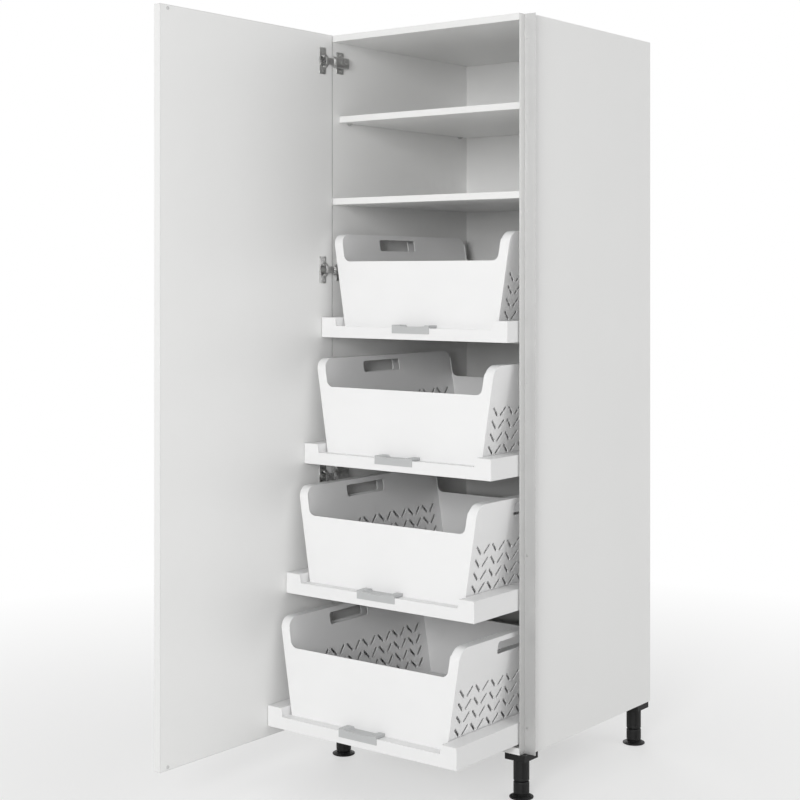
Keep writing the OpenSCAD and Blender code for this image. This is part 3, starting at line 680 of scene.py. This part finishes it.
def hinge_arm_mesh():
    """Pressed arm: a channel with rounded corners, open at the front and closed at the back, with
    two adjusting screws. x out of the side panel, y towards the back, z up."""
    top, half, wall, bend = 10.5, 14, 1.5, 3.5
    front, length = -2, 50
    lap = 0.1
    proud = 0.9
    fold = (top - bend, half - bend)
    thin = bend - wall
    outside = (
        [(0, -half)] + arc((fold[0], -fold[1]), bend, -90, 0, 6)
        + arc(fold, bend, 0, 90, 6) + [(0, half)]
    )
    inside = (
        [(0, half - wall)] + arc(fold, thin, 90, 0, 6)
        + arc((fold[0], -fold[1]), thin, 0, -90, 6) + [(0, wall - half)]
    )
    parts = [
        (prism("channel", outside + inside, front, length - wall + lap), IN_PLACE),
        (prism("channel end", outside, length - wall, length), IN_PLACE),
    ]
    screw = cross_screw_mesh(head=8, shank=4, length=8)
    for y in (16, 38):
        parts.append((screw, towards((1, 0, 0), ((top + proud) / 1000, y / 1000, 0))))
    return joined("arm", parts)


def at_hinges(mesh, x, y, turn):
    """The mesh at each of the four hinges."""
    parts = [(mesh, Matrix.Translation(at(x, y, z)) @ turn) for z in HINGE_Z]
    return smooth(joined(mesh.name, parts))


cups = at_hinges(hinge_cup_mesh(), DOOR_FACE, CUP_Y, OUTWARDS)
plates = at_hinges(hinge_plate_mesh(), PANEL_T, 0, OUTWARDS)
arms = at_hinges(hinge_arm_mesh(), PLATE_FACE, 0, IN_PLACE)
add_piece("hinge_cups_drawn", cups, "door", "hinge_cups")
add_piece("hinge_plates_stamped", plates, "carcass", "hinge_plates")
add_piece("hinge_arms_pressed", arms, "carcass", "hinge_arms")


# Studio, in metres. The floor keeps its own shading near the cabinet and fades to the backdrop.

WHITE = (1, 1, 1)
WORLD_LIGHT = 0.45
LAMP_AIM = Vector((0, 0, 0.9))
FLOOR_HALF = 40
NEAR_WHITE = 0.45
FADE_FROM = 0.8
FADE_TO = 2.6


def studio_world():
    """White for the camera, and a weaker light for everything else."""
    world = bpy.data.worlds.new("studio")
    world.use_nodes = True
    bpy.context.scene.world = world
    f = Shading(world.node_tree)
    backdrop = f.node("ShaderNodeBackground", None, (WHITE, 1.0))
    light = f.node("ShaderNodeBackground", None, (WHITE, WORLD_LIGHT))
    mix = f.node("ShaderNodeMixShader", None, (f.seen(), light, backdrop))
    f.join(f.tree.nodes["World Output"].inputs[0], mix)


def studio_floor():
    """A pale floor that keeps the cabinet's shadow near it and fades into the white backdrop."""
    corners = [(-1, -1), (1, -1), (1, 1), (-1, 1)]
    mesh = bpy.data.meshes.new("floor")
    mesh.from_pydata([(x * FLOOR_HALF, y * FLOOR_HALF, 0) for x, y in corners], [], [(0, 1, 2, 3)])
    floor = add_object("floor", mesh)
    f = Finish("pale floor", Base_Color=grey(0.9), Roughness=0.8, Specular_IOR_Level=0.2)
    x, y, _ = f.axes()
    faded = f.ramp((x * x + y * y) ** 0.5, FADE_FROM, FADE_TO)
    white = (NEAR_WHITE + (1 - NEAR_WHITE) * faded) * f.seen()
    emission = f.node("ShaderNodeEmission", None, (WHITE, 1.0))
    mix = f.node("ShaderNodeMixShader", None, (white, Wire(f, f.shader.outputs[0]), emission))
    f.join(f.tree.nodes["Material Output"].inputs[0], mix)
    mesh.materials.append(f.material)


def softbox(name, place, size, power):
    data = bpy.data.lights.new(name, "AREA")
    data.shape = "RECTANGLE"
    data.size, data.size_y = size
    data.energy = power
    lamp = add_object(name, data)
    lamp.location = place
    lamp.rotation_euler = (LAMP_AIM - Vector(place)).to_track_quat("-Z", "Y").to_euler()


studio_world()
studio_floor()
softbox("key", (1.9, -5.0, 2.0), (1.6, 1.6), 138)
softbox("side", (4.6, 1.6, 2.4), (2.0, 2.6), 30)
softbox("rear", (-3.4, 4.2, 3.0), (2.4, 2.4), 60)

bpy.context.scene.view_settings.view_transform = "Standard"
